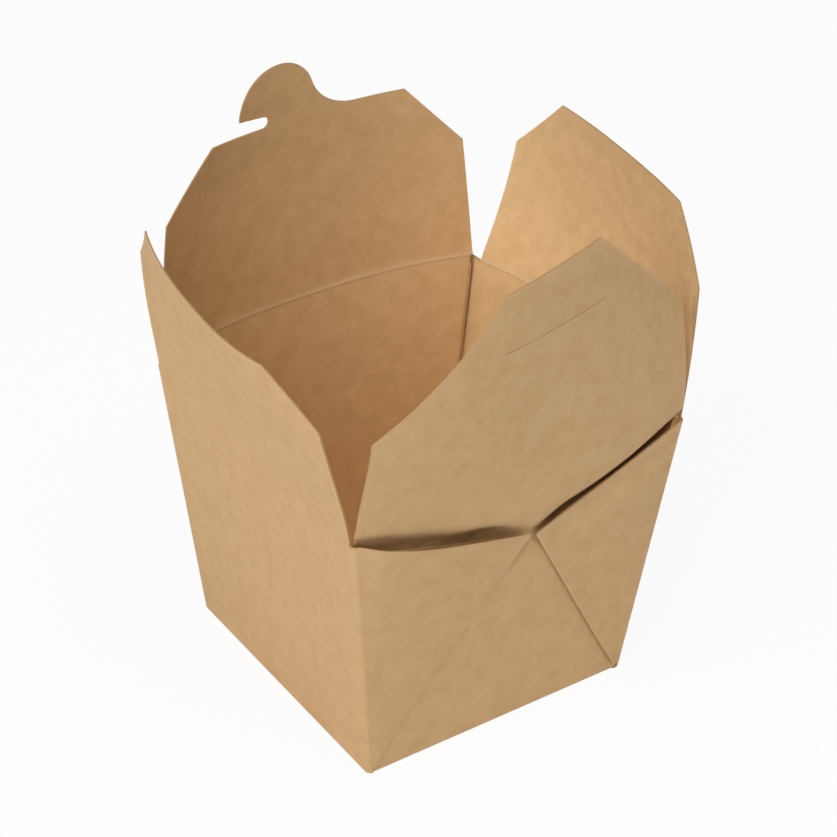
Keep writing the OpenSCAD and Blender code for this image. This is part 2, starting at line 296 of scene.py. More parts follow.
class CardColours(bpy.types.PropertyGroup):
    outside: colour("Outside", "#cfab7d", "Kraft card, the calendered outside")
    outside_dark: colour("Outside, dark", "#c8a274", "The darker clouds in the outside")
    # The inside colours are partly the card's own paler inside and partly painted light: they are made
    # paler to brighten the inside of the box
    inside: colour("Inside", "#e1bd8b", "Kraft card, the paler inside")
    inside_dark: colour("Inside, dark", "#d7b280", "The darker clouds in the inside")
    fibre: colour("Fibre", "#8a6238", "Brown fibres and bark specks in the pulp")
    # Paler colour painted near cut edges and web folds, and along creases as a painted highlight on the
    # bead
    pale_and_highlit: colour("Rubbed", "#dcbd93", "Card rubbed pale along creases and edges")
    # The cut edge colour is darker than the faces, partly the raw fibres' own tone and partly painted
    # shade along the edge
    cut: colour("Cut edge", "#b39062", "Raw fibres along a die-cut edge")
    floor: colour("Floor", "#f4f4f2", "Plain pale floor")


def power(name, watts, description):
    """Property for the power of a lamp."""
    return FloatProperty(name=name, description=description, default=watts, min=0, unit="POWER")


class BoxLight(bpy.types.PropertyGroup):
    sky: FloatProperty(name="Sky", description="Strength of the light from all round",
                       default=0.02, min=0)
    key: power("Key", 16.7, "Power of the large soft lamp on the left")
    fill: power("Fill", 5.6, "Power of the soft lamp high before the front")
    top: power("Top", 3.4, "Power of the soft lamp overhead")
    low: power("Low", 1.0, "Power of the small low lamp before the front")


def tub():
    return bpy.context.scene.noodle_tub


def flaps():
    return bpy.context.scene.noodle_flaps


# The tub's own measures

def half_w(z):
    t = tub()
    return (t.base_w + (t.rim_w - t.base_w) * z / t.rim_h) / 2


def half_d(z):
    t = tub()
    return (t.base_d + (t.rim_d - t.base_d) * z / t.rim_h) / 2


def wall_half(side, z):
    return half_w(z) if side in ("front", "back") else half_d(z)


def wall_out(side, z):
    return half_d(z) if side in ("front", "back") else half_w(z)


def crease_z(side):
    t = tub()
    return t.rim_h if side in ("front", "back") else t.rim_h - t.crease_step


def arch(s):
    """Share of a wall's bow from end, -1 or 1, to end."""
    return 1 - np.minimum(1, np.abs(s)) ** BOW_ARCH


def wall_bow(side, along, z):
    rise = np.clip(z / tub().rim_h, 0, None) ** BOW_RISE
    return BENDS[side].bow * MM * arch(along / wall_half(side, z)) * rise


def dent(side, along, z):
    """Depth of the hollows pressed into a wall and the foot of its flap."""
    t = tub()
    top = t.rim_h - t.crease_step
    away = np.abs(along - TIPS.get(side, 0) * MM)
    mouth = t.web_top + (top - t.web_top) * away / half_w(top) - t.dent_drop
    across = np.zeros(np.shape(along))
    for at, half, depth in DENTS.get(side, ()):
        across = across + depth * np.exp(-((along / MM - at) / half) ** 2)
    return across * MM * np.exp(-((z - mouth) / t.dent_h) ** 2)


def wall_slope(side, s):
    """How steeply a wall runs outwards at its crease, from end, -1 or 1, to end."""
    t = tub()
    flat = (wall_out(side, t.rim_h) - wall_out(side, 0)) / t.rim_h
    return flat + BOW_RISE * BENDS[side].bow * MM * arch(s) / t.rim_h


def spot(side, along, out, z):
    """Points so far along a side, out of it and up, in the frame."""
    ways = SIDES[side]
    along, out, z = np.broadcast_arrays(along, out, z)
    return (along[..., None] * np.array(ways.along) + out[..., None] * np.array(ways.out)
            + z[..., None] * UP)


def bead(distance):
    """Height of the crease bead at a distance from the crease."""
    t = tub()
    return t.bead_h * np.exp(-(distance / t.bead_w) ** 2 * 2)


def crease_highlight(distance):
    """How strongly the painted highlight along a crease shows at a distance from it."""
    return np.exp(-(distance / (CREASE_HIGHLIGHT_REACH * tub().bead_w)) ** 2)


# Meshes of card

def card_piece(name, outside, inside, faces, pale_shares, flip):
    """Closed piece of card: two matching faces and the cut edge between them."""
    n = len(outside)
    edges = dict.fromkeys((a, b) for f in faces for a, b in zip(f, f[1:] + f[:1]))
    rim = [(b, a, n + a, n + b) for a, b in edges if (b, a) not in edges]
    skins = [tuple(f) for f in faces] + [tuple(n + i for i in reversed(f)) for f in faces]
    if flip:
        skins = [tuple(reversed(f)) for f in skins]
        rim = [tuple(reversed(f)) for f in rim]
    mesh = bpy.data.meshes.new(name)
    mesh.from_pydata(np.concatenate([outside, inside]).tolist(), [], skins + rim)
    mesh.validate()
    slots = [0] * len(faces) + [1] * len(faces) + [2] * len(rim)
    mesh.polygons.foreach_set("material_index", slots)
    mesh.polygons.foreach_set("use_smooth", [True] * len(slots))
    mesh.set_sharp_from_angle(angle=math.radians(SHARP_TURN))
    # How far each point is painted paler: a painted highlight along creases, paler card near cut edges
    # and web folds
    pale_and_highlit = mesh.attributes.new("pale_and_highlit", "FLOAT", "POINT")
    pale_and_highlit.data.foreach_set("value", np.concatenate(pale_shares).astype(np.float32))
    for material in ("kraft_card_outside", "kraft_card_inside_painted_light", "kraft_card_cut_edge_painted_shade"):
        mesh.materials.append(bpy.data.materials[material])
    mesh.update()
    piece = bpy.data.objects.new(name, mesh)
    bpy.context.scene.collection.objects.link(piece)
    return piece


def grid_piece(name, outside, inside, pale_shares, flip):
    """Piece of card from two grids of points, rows upwards by columns along the side, and how
    far each of them is painted paler."""
    rows, cols = outside.shape[:2]
    faces = [[r * cols + c, r * cols + c + 1, (r + 1) * cols + c + 1, (r + 1) * cols + c]
             for r in range(rows - 1) for c in range(cols - 1)]
    pale_shares = [np.broadcast_to(pale_share, (rows, cols)).reshape(-1) for pale_share in pale_shares]
    return card_piece(name, outside.reshape(-1, 3), inside.reshape(-1, 3), faces, pale_shares, flip)


def settle(piece, body, side=None, lean=None, off=0.0):
    """Rides a piece on its body in place of the body's node, and gives a piece with a lean a mesh of
    its own; the lean's size and the offset off the crease are not used."""
    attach(piece, body)
    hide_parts(body)
    if lean is not None:
        z = crease_z(side)
        anchor = spot(side, 0.0, wall_out(side, z) + tub().card / 2 + off, z)
        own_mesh(piece)


def wall_lean(side, extra=0.0):
    """Lean outwards of a flat wall, or of one that is so much thicker at its rim."""
    t = tub()
    return math.atan2(wall_out(side, t.rim_h) + extra - wall_out(side, 0), t.rim_h)


# Walls and base

def wall_rows(side):
    """Rows up a wall: the angle of the fold at its foot, then heights to its crease."""
    t = tub()
    top = crease_z(side)
    fold = [math.radians(a) for a in FOOT_TURNS]
    even = np.linspace(t.fold_r, top - BELOW_CREASE, WALL_ROWS)
    return fold, np.concatenate([even, top - np.array(CREASE_ROWS) * MM])


def wall_faces(side, along_at):
    """Outer and inner grids of a wall; along_at gives the places along it at a height."""
    t = tub()
    fold, heights = wall_rows(side)
    grids = []
    for depth in (t.card, 0.0):
        rows = []
        for angle in fold:
            r = t.fold_r - (t.card - depth)
            z = t.fold_r - r * math.cos(angle)
            along = along_at(t.fold_r)
            out = wall_out(side, t.fold_r) + t.card - t.fold_r + r * math.sin(angle)
            rows.append((along, np.full_like(along, out), np.full_like(along, z)))
        for z in heights:
            along = along_at(z)
            out = wall_out(side, z) + depth + wall_bow(side, along, z) - dent(side, along, z)
            if depth == 0.0:
                out = out - bead(crease_z(side) - z)
            rows.append((along, out, np.full_like(along, z)))
        grids.append([np.array(part) for part in zip(*rows)])
    return grids, crease_highlight(crease_z(side) - grids[0][2])


def wall_pieces(side, grids, pale_share, turned=0):
    """Pieces of a wall with so many turned columns at each end. A bowed wall's foot and its turned
    ends are kept as pieces of their own."""
    bow, foot = BENDS[side].bow, len(FOOT_TURNS)
    parts = {f"{side}_wall": (slice(None), slice(None))}
    if bow:
        parts = {f"{side}_wall": (slice(foot, None), slice(turned, -turned or None)),
                 f"{side}_foot": (slice(foot + 1), slice(None))}
    if bow and turned:
        parts[f"front_{side}_corner"] = (slice(foot, None), slice(turned + 1))
        parts[f"back_{side}_corner"] = (slice(foot, None), slice(-turned - 1, None))
    for name, part in parts.items():
        outside, inside = (grid[part] for grid in grids)
        piece = grid_piece(name, outside, inside, (0.0, pale_share[part]), SIDES[side].mirrored)
        straightens = bow and name == f"{side}_wall"
        settle(piece, TUB, side, wall_lean(side) if straightens else None)


def front_or_back_wall(side):
    """Wall between two inside corners, where its ends curl out into the pockets of the webs."""
    t = tub()

    def flat_end(z):
        """Where along the wall its curl begins."""
        return wall_half(side, z) - t.pocket - END_CURL

    def along_at(z):
        end = flat_end(z)
        inner = np.linspace(-1, 1, WALL_COLUMNS) * end
        tail = np.linspace(1 / CURL_COLUMNS, 1, CURL_COLUMNS) * END_CURL
        return np.concatenate([-end - tail[::-1], inner, end + tail])

    grids, pale_share = wall_faces(side, along_at)
    made = []
    for along, out, z in grids:
        past = np.clip(np.abs(along) - flat_end(z), 0, None)
        left, right = (ply_depth(f"{side}_{end}_web", z) for end in ("left", "right"))
        room = np.where(along < 0, left, right) - t.card - t.slack
        curl = np.minimum(past ** 2 / (2 * END_CURL_R), np.clip(room, 0, None))
        made.append(spot(side, along, out + curl, z))
    wall_pieces(side, made, pale_share)


def ply_share(web, z):
    """How full the folded plies of a web stand off the wall at a height."""
    base, rim = WEBS[web].base_full, WEBS[web].rim_full
    return base + (rim - base) * z / tub().rim_h


def ply_depth(web, z):
    """How far the outer face of a web stands off the wall at a height."""
    t = tub()
    return 2 * (t.card + t.slack) * ply_share(web, z)


def left_or_right_wall(side):
    """Wall whose ends turn round the corners into the outer plies of the webs."""
    t = tub()
    share = np.linspace(0, 1, SIDE_COLUMNS)
    turn = np.radians(CORNER_TURNS)
    fold, heights = wall_rows(side)
    grids = []
    for depth in (t.card, 0.0):
        r = t.fold_r - (t.card - depth)
        rows = []
        for k, row in enumerate(list(fold) + list(heights)):
            if k < len(fold):
                z_at = t.fold_r
                z = t.fold_r - r * math.cos(row)
                foot = t.fold_r - r * math.sin(row) - (t.card - depth)
            else:
                z_at = z = row
                foot = 0.0
            near, far = (
                half_d(z_at) + t.card + ply_depth(f"{end}_{side}_web", z_at) - t.corner_r - foot
                for end in ("front", "back"))
            along = far * share - near * (1 - share)
            out = wall_out(side, z_at) + depth + wall_bow(side, along, z_at) - foot
            if depth == 0.0:
                out = out - bead(crease_z(side) - z_at)
            round_r = t.corner_r - (t.card - depth)
            past, drop = round_r * np.sin(turn), round_r * (1 - np.cos(turn))
            corner = wall_out(side, z_at) + depth - foot
            along = np.concatenate([-near - past[::-1], along, far + past])
            out = np.concatenate([corner - drop[::-1], out, corner - drop])
            rows.append(spot(side, along, out, z))
        grids.append(np.array(rows))
    wall_pieces(side, grids, crease_highlight(crease_z(side) - grids[0][..., 2]), len(turn))


def base_panel():
    """Base of the tub, between the folds at the feet of the walls."""
    t = tub()
    w = half_w(t.fold_r) + t.card - t.fold_r
    d = half_d(t.fold_r) + t.card - t.fold_r
    x, y = np.meshgrid(np.linspace(-w, w, BASE_COLUMNS), np.linspace(-d, d, BASE_COLUMNS))
    under = np.stack([x, y, np.zeros_like(x)], axis=-1)
    piece = grid_piece("base_panel", under, under + t.card * UP, (0.0, 0.0), True)
    settle(piece, TUB)


# Corner webs

def corner_web(name):
    """Web at one end of a wall: outer ply, turn at the slanted fold and inner ply behind it."""
    t = tub()
    web = WEBS[name]
    side, end = web.wall, web.end
    top = t.rim_h - t.crease_step
    turn, mouth = t.card - t.corner_r, -t.pocket
    foot = np.array([half_w(0) + turn, 0.0])
    tip = np.array([t.web_gap / 2 + end * TIPS[side] * MM, t.web_top])
    run = np.linalg.norm((half_w(top) + turn, top) - tip)
    to_peak = math.log(0.5) / math.log(web.peak)
    vs = np.concatenate([np.linspace(*WEB_EVEN, WEB_ROWS), WEB_LAST])
    flat = np.linspace(0, 1, WEB_COLUMNS)
    bend = [math.radians(a) for a in WEB_TURNS]

    def ply(u, v, off, lift, start):
        """Point at a share of the way to the fold and of the way up, off the wall's face, on a
        ply that starts so far past the inside corner."""
        corner = np.array([half_w(v * top) + start, v * top])
        fold = foot + v * (tip - foot)
        along, z = corner + (fold - corner) * u
        face = half_d(z) + t.card
        lying = face + wall_bow(side, along, z) - dent(side, end * along, z)
        over = np.clip(u, 0, 1)
        spring = web.spring * MM * v ** SPRING_RISE * math.sin(math.pi * over ** to_peak) ** SPRING_PEAK
        chord = face + u * wall_bow(side, fold[0], fold[1]) + spring
        # The outer ply is stretched from the corner to the fold and rests on the wall
        soft = REST_SOFT * math.sin(math.pi * over)
        standing = (chord + lying + math.hypot(chord - lying, soft)) / 2
        full = ply_share(name, z) * (1 - web.pressed * over ** PRESS_RISE)
        # At the corner it is flush with the end of the next wall
        away = 1 - np.clip(1 - u / LEAVE_SHARE, 0, 1) ** 2
        stand = (lying + lift * (standing - lying) - face) * away
        stand += web.fold_open * MM * over ** OPEN_RISE * math.sqrt(1 - v) * min(1, v / OPEN_FROM)
        return spot(side, end * along, face + stand + off * full, z)

    def inner_lift(u):
        """Share of the spring that the inner ply follows, so that its edge shows in the mouth."""
        return INNER_LIFT - INNER_SAG * math.sin(math.pi * u)

    grids = []
    outer_at, inner_at = 2 * (t.card + t.slack), t.slack
    for deep in (0.0, t.card):
        middle, full = (outer_at + inner_at) / 2, (outer_at - inner_at) / 2
        r = full - deep
        rows = []
        for v in vs:
            stop = 1 - min(TURN_MOST, full / (v * run))
            reach = r / (v * run) * min(1, (1 - stop) * v * run / full)
            row = [ply(u * stop, v, outer_at - deep, 1.0, turn) for u in flat]
            low = v - t.ply_drop / top * v ** DROP_RISE
            for a in bend:
                share = (math.sin(a) + 1) / 2
                lift = inner_lift(1) * (1 - share) + share
                row.append(ply(stop + reach * math.cos(a), low + share * (v - low),
                               middle + r * math.sin(a), lift, turn))
            row += [ply(u * stop, low, inner_at + deep, inner_lift(u), mouth) for u in flat[::-1]]
            rows.append(row)
        grids.append(np.array(rows))
    # The turn of the web's fold is painted paler on the outside
    pale_share = np.zeros(grids[0].shape[:2])
    pale_share[:, len(flat):len(flat) + len(bend)] = FOLD_PALE
    flip = (end > 0) != SIDES[side].mirrored
    piece = grid_piece(name, grids[0], grids[1], (pale_share, 0.0), flip)
    rim = ply_depth(name, t.rim_h)
    settle(piece, TUB, side, wall_lean(side, rim - ply_depth(name, 0)), rim)


# Flaps

def flap_spot(side, along, h, depth):
    """Points on a flap so far along its crease and up its card, at a depth from its inside."""
    b = BENDS[side]
    z0, ease = crease_z(side), EASE[side] * MM
    s = along / wall_half(side, z0)
    q = arch(s)
    start = wall_slope(side, s)
    more = b.lean + b.twist * s + b.belly * q - start
    bend = (b.curl + b.curl_twist * s + b.curl_belly * q) / CURL_LENGTH
    out = (wall_out(side, z0) + b.bow * MM * q + h * start
           + more * (h - ease * (1 - np.exp(-h / ease))) + h * h * bend)
    up = h[:, None] * np.linspace(0, 1, RISE_STEPS + 1)
    slope = start[:, None] + more[:, None] * (1 - np.exp(-up / ease)) + 2 * bend[:, None] * up
    rise = np.sqrt(np.clip(1 - slope ** 2, LEAST_RISE, 1))
    z = z0 + h * (rise[:, 1:] + rise[:, :-1]).sum(axis=1) / 2 / RISE_STEPS
    return spot(side, along, out - dent(side, along, z) + depth, z)


def sector(centre, r, start, stop, steps):
    """Points on a round edge between two angles in degrees."""
    angles = np.radians(np.linspace(start, stop, steps))
    return [(centre[0] + r * math.cos(a), centre[1] + r * math.sin(a)) for a in angles]


def tab_outline(f):
    """Edge of the locking tab from the end of its hollow curve to the root of its hook's slot."""
    head = (-f.tab_offset, f.back_len + f.tab_rise)
    run = math.sqrt((f.tab_r + f.tab_fillet) ** 2 - (f.tab_fillet - f.tab_rise) ** 2)
    hollow = (head[0] + run, f.back_len + f.tab_fillet)
    meet = math.degrees(math.atan2(f.tab_fillet - f.tab_rise, run))
    reach, from_turn = f.hook_r - f.tab_r, math.radians(HOOK_TURN[0])
    flatter = (head[0] - reach * math.cos(from_turn), head[1] - reach * math.sin(from_turn))
    hook = sector(flatter, f.hook_r, *HOOK_TURN, HOOK_POINTS)[1:]
    slot_r = f.hook_slot / 2
    slot_end = (hook[-1][0] + f.hook_depth - slot_r, f.back_len - f.hook_drop + slot_r)
    return (sector(hollow, f.tab_fillet, 270, 180 + meet, HOLLOW_POINTS)
            + sector(head, f.tab_r, meet, HOOK_TURN[0], HEAD_POINTS)[1:]
            + hook + sector(slot_end, slot_r, 90, -90, SLOT_POINTS))


def outline(side):
    """Cut line of a flap along its crease and up its card, and its slit if it has one."""
    f = flaps()
    edge, length = getattr(f, f"{side}_side"), getattr(f, f"{side}_len")
    shoulder, top = getattr(f, f"{side}_shoulder"), getattr(f, f"{side}_top")
    half = wall_half(side, crease_z(side))
    near, far = FEET[side]
    points = [(-half - near * MM, 0), (half + far * MM, 0), (shoulder, edge), (top, length)]
    if side == "back":
        points += tab_outline(f)
        length -= f.hook_drop
    points += [(-top, length), (-shoulder, edge)]
    slit = []
    if side == "front":
        half, cut = f.slit_half, f.slit_cut / 2
        slit = [(-half, f.slit_h), (-half + cut, f.slit_h - cut), (half - cut, f.slit_h - cut),
                (half, f.slit_h), (half - cut, f.slit_h + cut), (-half + cut, f.slit_h + cut)]
    return points, slit


def divided(points, step):
    """Closed line with points no further apart than a step."""
    made = []
    for a, b in zip(points, points[1:] + points[:1]):
        a, b = np.array(a), np.array(b)
        n = max(1, math.ceil(np.linalg.norm(b - a) / step))
        made += [a + (b - a) * k / n for k in range(n)]
    return np.array(made)


def edge_distance(points, line):
    """Distance of each point from a closed line."""
    a, b = line, np.roll(line, -1, axis=0)
    d = b - a
    t = np.einsum("pij,ij->pi", points[:, None] - a, d) / np.maximum((d * d).sum(1), 1e-18)
    near = a + np.clip(t, 0, 1)[..., None] * d
    return np.linalg.norm(points[:, None] - near, axis=2).min(axis=1)


def inside_of(points, line):
    """Which points lie inside a closed line."""
    x, y = points[:, 0, None], points[:, 1, None]
    a, b = line, np.roll(line, -1, axis=0)
    crosses = (a[:, 1] > y) != (b[:, 1] > y)
    with np.errstate(divide="ignore", invalid="ignore"):
        at = a[:, 0] + (y - a[:, 1]) * (b[:, 0] - a[:, 0]) / (b[:, 1] - a[:, 1])
    return (crosses & (x < at)).sum(axis=1) % 2 == 1


def flap_piece(side):
    """Flap of bent card, cut along its outline."""
    points, slit = outline(side)
    edge = divided(points, EDGE_STEP)
    lines = [edge] + ([divided(slit, EDGE_STEP)] if slit else [])
    lo, hi = edge.min(0), edge.max(0)
    ups = np.concatenate([np.array(FLAP_ROWS) * MM, np.arange(ABOVE_CREASE, hi[1], GRID_STEP)])
    grid = np.stack(np.meshgrid(np.arange(lo[0], hi[0], GRID_STEP), ups), axis=-1).reshape(-1, 2)
    low = (grid[:, 1] < FOOT_TOP) & (np.abs(grid[:, 0]) < hi[0] - FOOT_END)
    keep = inside_of(grid, edge) & ((edge_distance(grid, edge) > EDGE_CLEAR) | low)
    for line in lines[1:]:
        keep &= (edge_distance(grid, line) > EDGE_CLEAR) & ~inside_of(grid, line)
    verts, edges = np.concatenate(lines + [grid[keep]]), []
    first = 0
    for line in lines:
        n = len(line)
        edges += [(first + i, first + (i + 1) % n) for i in range(n)]
        first += n
    made = delaunay_2d_cdt([Vector(p / MM) for p in verts], edges, [], 1, 1e-5)
    flat = np.array([tuple(p) for p in made[0]]) * MM
    faces = [list(f) for f in made[2]]
    if slit:
        middle = np.array([flat[f].mean(axis=0) for f in faces])
        gone = inside_of(middle, lines[1])
        faces = [f for f, out in zip(faces, gone) if not out]
    along, h = flat[:, 0], flat[:, 1]
    outside = flap_spot(side, along, h, tub().card)
    inside = flap_spot(side, along, h, -bead(h))
    # The outside is painted paler near the cut edge; the inside also takes the painted highlight along
    # the crease
    paled = EDGE_PALE * np.exp(-edge_distance(flat, edge) / EDGE_PALE_REACH)
    paled = np.where(h > EDGE_PALE_FROM, paled, 0.0)
    pale_shares = (paled, np.maximum(paled, crease_highlight(h)))
    piece = card_piece(f"{side}_flap_card", outside, inside, faces, pale_shares, SIDES[side].mirrored)
    settle(piece, f"{side}_flap", side, math.radians(SHUT_LEAN[side]))


# Materials

def node(tree, kind, settings=None, inputs=None):
    """Adds a node, with its settings and with values or other nodes' sockets on its inputs."""
    made = tree.nodes.new(kind)
    for name, value in (settings or {}).items():
        setattr(made, name, value)
    for name, value in (inputs or {}).items():
        socket = made.inputs[name]
        if isinstance(value, bpy.types.NodeSocket):
            tree.links.new(value, socket)
        else:
            socket.default_value = value
    return made


def empty_material(name):
    """Material with no nodes in it yet."""
    material = bpy.data.materials.new(name)
    material.use_nodes = True
    material.node_tree.nodes.clear()
    return material


def rgba(value):
    return (*value, 1.0)


def looked_at(tree):
    """1 on rays by which the camera sees a surface, straight or by way of gloss or glass."""
    ray = node(tree, "ShaderNodeLightPath").outputs
    direct = node(tree, "ShaderNodeMath", {"operation": "MAXIMUM"}, {
        0: ray["Is Camera Ray"], 1: ray["Is Glossy Ray"]}).outputs[0]
    return node(tree, "ShaderNodeMath", {"operation": "MAXIMUM"}, {
        0: direct, 1: ray["Is Transmission Ray"]}).outputs[0]


def kraft_card(name, light, dark, fibre, pale_and_highlit, rough):
    """Unbleached kraft board, made on a paper machine: matt, with soft clouds where the pulp lay
    thicker, fine long fibres, a few bark specks, and painted paler near cut edges and folds and,
    as a painted highlight on the bead, along creases."""
    tree = empty_material(name).node_tree
    where = node(tree, "ShaderNodeTexCoord").outputs["Object"]
    # Clouds in the pulp are about 5 mm across
    cloud = node(tree, "ShaderNodeTexNoise", inputs={
        "Vector": where, "Scale": 1 / PULP_CLOUD, "Detail": 3.0, "Roughness": 0.55}).outputs["Fac"]
    # Fibres are 20 to 40 micrometres thick; drawn 0.7 mm long and wavy so that they show
    strand = node(tree, "ShaderNodeTexNoise", inputs={
        "Vector": where, "Scale": 1 / FIBRE, "Detail": 5.0, "Roughness": 0.7,
        "Distortion": 1.5}).outputs["Fac"]
    # Bark specks of about half a millimetre, some 3 mm apart
    speck = node(tree, "ShaderNodeTexVoronoi", inputs={
        "Vector": where, "Scale": 1 / SPECK_GAP, "Randomness": 1.0}).outputs["Distance"]
    tint = node(tree, "ShaderNodeMapRange", inputs={
        "Value": cloud, "From Min": 0.33, "From Max": 0.67,
        "To Min": 0.0, "To Max": 1.0}).outputs["Result"]
    base = node(tree, "ShaderNodeMix", {"data_type": "RGBA"}, {
        "Factor": tint, 6: rgba(dark), 7: rgba(light)}).outputs[2]
    hair = node(tree, "ShaderNodeMapRange", inputs={
        "Value": strand, "From Min": 0.52, "From Max": 0.78,
        "To Min": 0.0, "To Max": 0.12}).outputs["Result"]
    streaked = node(tree, "ShaderNodeMix", {"data_type": "RGBA"}, {
        "Factor": hair, 6: base, 7: rgba(fibre)}).outputs[2]
    bark = node(tree, "ShaderNodeMapRange", inputs={
        "Value": speck, "From Min": 0.05, "From Max": 0.12,
        "To Min": 0.15, "To Max": 0.0}).outputs["Result"]
    specked = node(tree, "ShaderNodeMix", {"data_type": "RGBA"}, {
        "Factor": bark, 6: streaked, 7: rgba(fibre)}).outputs[2]
    # Mixes in the paler colour by the mesh's attribute: a painted highlight along the crease beads,
    # paler card near cut edges and web folds
    paleness = node(tree, "ShaderNodeAttribute", {"attribute_name": "pale_and_highlit"}).outputs["Fac"]
    paled = node(tree, "ShaderNodeMath", {"operation": "MULTIPLY"}, {
        0: paleness, 1: MOST_PALENESS}).outputs[0]
    final = node(tree, "ShaderNodeMix", {"data_type": "RGBA"}, {
        "Factor": paled, 6: specked, 7: rgba(pale_and_highlit)}).outputs[2]
    gloss = node(tree, "ShaderNodeMapRange", inputs={
        "Value": strand, "To Min": rough - ROUGH_SPREAD,
        "To Max": rough + ROUGH_SPREAD}).outputs["Result"]
    grain = node(tree, "ShaderNodeBump", inputs={
        "Height": strand, "Strength": 0.15, "Distance": FIBRE_RELIEF}).outputs["Normal"]
    board = node(tree, "ShaderNodeBsdfPrincipled", inputs={
        "Base Color": final, "Roughness": gloss, "Normal": grain,
        "IOR": 1.47, "Specular IOR Level": 0.22})
    node(tree, "ShaderNodeOutputMaterial", inputs={"Surface": board.outputs["BSDF"]})


def cut_edge(name, raw_and_shaded, fibre):
    """The die-cut edge of the board: bare fibre ends in fine layers, a little darker than the faces,
    partly the fibres' own tone and partly painted shade.
    """
    tree = empty_material(name).node_tree
    where = node(tree, "ShaderNodeTexCoord").outputs["Object"]
    # Ends of fibre bundles, about a quarter of a millimetre
    ends = node(tree, "ShaderNodeTexNoise", inputs={
        "Vector": where, "Scale": 1 / FIBRE_END, "Detail": 4.0, "Roughness": 0.75}).outputs["Fac"]
    share = node(tree, "ShaderNodeMapRange", inputs={
        "Value": ends, "From Min": 0.45, "From Max": 0.8,
        "To Min": 0.0, "To Max": 0.4}).outputs["Result"]
    tint = node(tree, "ShaderNodeMix", {"data_type": "RGBA"}, {
        "Factor": share, 6: rgba(raw_and_shaded), 7: rgba(fibre)}).outputs[2]
    fuzz = node(tree, "ShaderNodeBump", inputs={
        "Height": ends, "Strength": 0.4, "Distance": END_RELIEF}).outputs["Normal"]
    board = node(tree, "ShaderNodeBsdfPrincipled", inputs={
        "Base Color": tint, "Roughness": 0.95, "Normal": fuzz,
        "IOR": 1.47, "Specular IOR Level": 0.15})
    node(tree, "ShaderNodeOutputMaterial", inputs={"Surface": board.outputs["BSDF"]})


def pale_floor(name, tone):
    """Matt pale studio floor that reads white to the camera and keeps the box's shadow."""
    material = empty_material(name)
    tree = material.node_tree
    where = node(tree, "ShaderNodeTexCoord").outputs["Object"]
    grit = node(tree, "ShaderNodeTexNoise", inputs={
        "Vector": where, "Scale": 1 / FLOOR_GRIT, "Detail": 2.0})
    grain = node(tree, "ShaderNodeBump", inputs={
        "Height": grit.outputs["Fac"], "Strength": 0.05,
        "Distance": FLOOR_RELIEF}).outputs["Normal"]
    paint = node(tree, "ShaderNodeBsdfDiffuse", inputs={"Color": rgba(tone), "Normal": grain})
    glow = node(tree, "ShaderNodeEmission", inputs={"Color": (1, 1, 1, 1), "Strength": 1.0})
    share = node(tree, "ShaderNodeMath", {"operation": "MULTIPLY"}, {
        0: looked_at(tree), 1: FLOOR_WHITE}).outputs[0]
    surface = node(tree, "ShaderNodeMixShader", inputs={
        0: share, 1: paint.outputs["BSDF"], 2: glow.outputs["Emission"]})
    node(tree, "ShaderNodeOutputMaterial", inputs={"Surface": surface.outputs["Shader"]})
    return material


# Operators

class NOODLE_OT_card(bpy.types.Operator):
    """Mixes the kraft card: outside, inside and cut edge"""
    bl_idname = "noodle.card"
    bl_label = "Kraft card"

    def execute(self, context):
        c = context.scene.noodle_colours
        kraft_card("kraft_card_outside", c.outside, c.outside_dark, c.fibre, c.pale_and_highlit, OUTSIDE_ROUGH)
        kraft_card("kraft_card_inside_painted_light", c.inside, c.inside_dark, c.fibre, c.pale_and_highlit, INSIDE_ROUGH)
        cut_edge("kraft_card_cut_edge_painted_shade", c.cut, c.fibre)
        return {"FINISHED"}


class NOODLE_OT_tub(bpy.types.Operator):
    """Folds the base and the four walls of the tub"""
    bl_idname = "noodle.tub"
    bl_label = "Base and walls"

    def execute(self, context):
        base_panel()
        for side in ("left", "right"):
            left_or_right_wall(side)
        for side in ("front", "back"):
            front_or_back_wall(side)
        return {"FINISHED"}


class NOODLE_OT_webs(bpy.types.Operator):
    """Folds the four corner webs on to the front and back walls"""
    bl_idname = "noodle.webs"
    bl_label = "Corner webs"

    def execute(self, context):
        for name in WEBS:
            corner_web(name)
        return {"FINISHED"}


class NOODLE_OT_flaps(bpy.types.Operator):
    """Cuts and bends the four flaps on the rim creases"""
    bl_idname = "noodle.flaps"
    bl_label = "Flaps"

    def execute(self, context):
        for side in SIDES:
            flap_piece(side)
        return {"FINISHED"}


